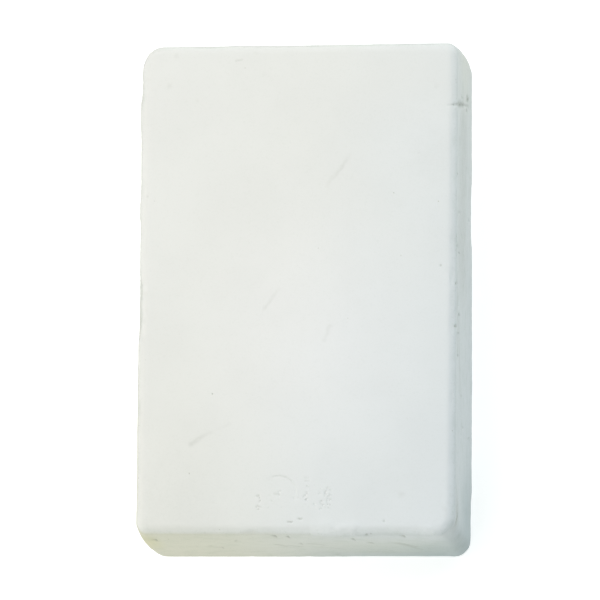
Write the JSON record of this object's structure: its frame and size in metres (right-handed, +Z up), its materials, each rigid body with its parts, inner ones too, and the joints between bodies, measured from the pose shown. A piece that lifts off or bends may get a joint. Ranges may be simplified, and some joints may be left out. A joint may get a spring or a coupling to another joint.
{
  "type": "gymnastics chalk block",
  "caption": "Solid rectangular block of dry magnesium carbonate chalk with rounded corners, broken up or rubbed on the hands for grip.",
  "frame": {"origin": "centre of the face that the block rests on", "axes": "+Z up through the thickness, +Y along the length, +X across the width"},
  "size_m": [0.0536, 0.0834, 0.031],
  "materials": {
    "chalk": "dry, dusty and fully matt"
  },
  "bodies": {
    "root": {"chalk_block": "chalk"}
  },
  "joints": []
}
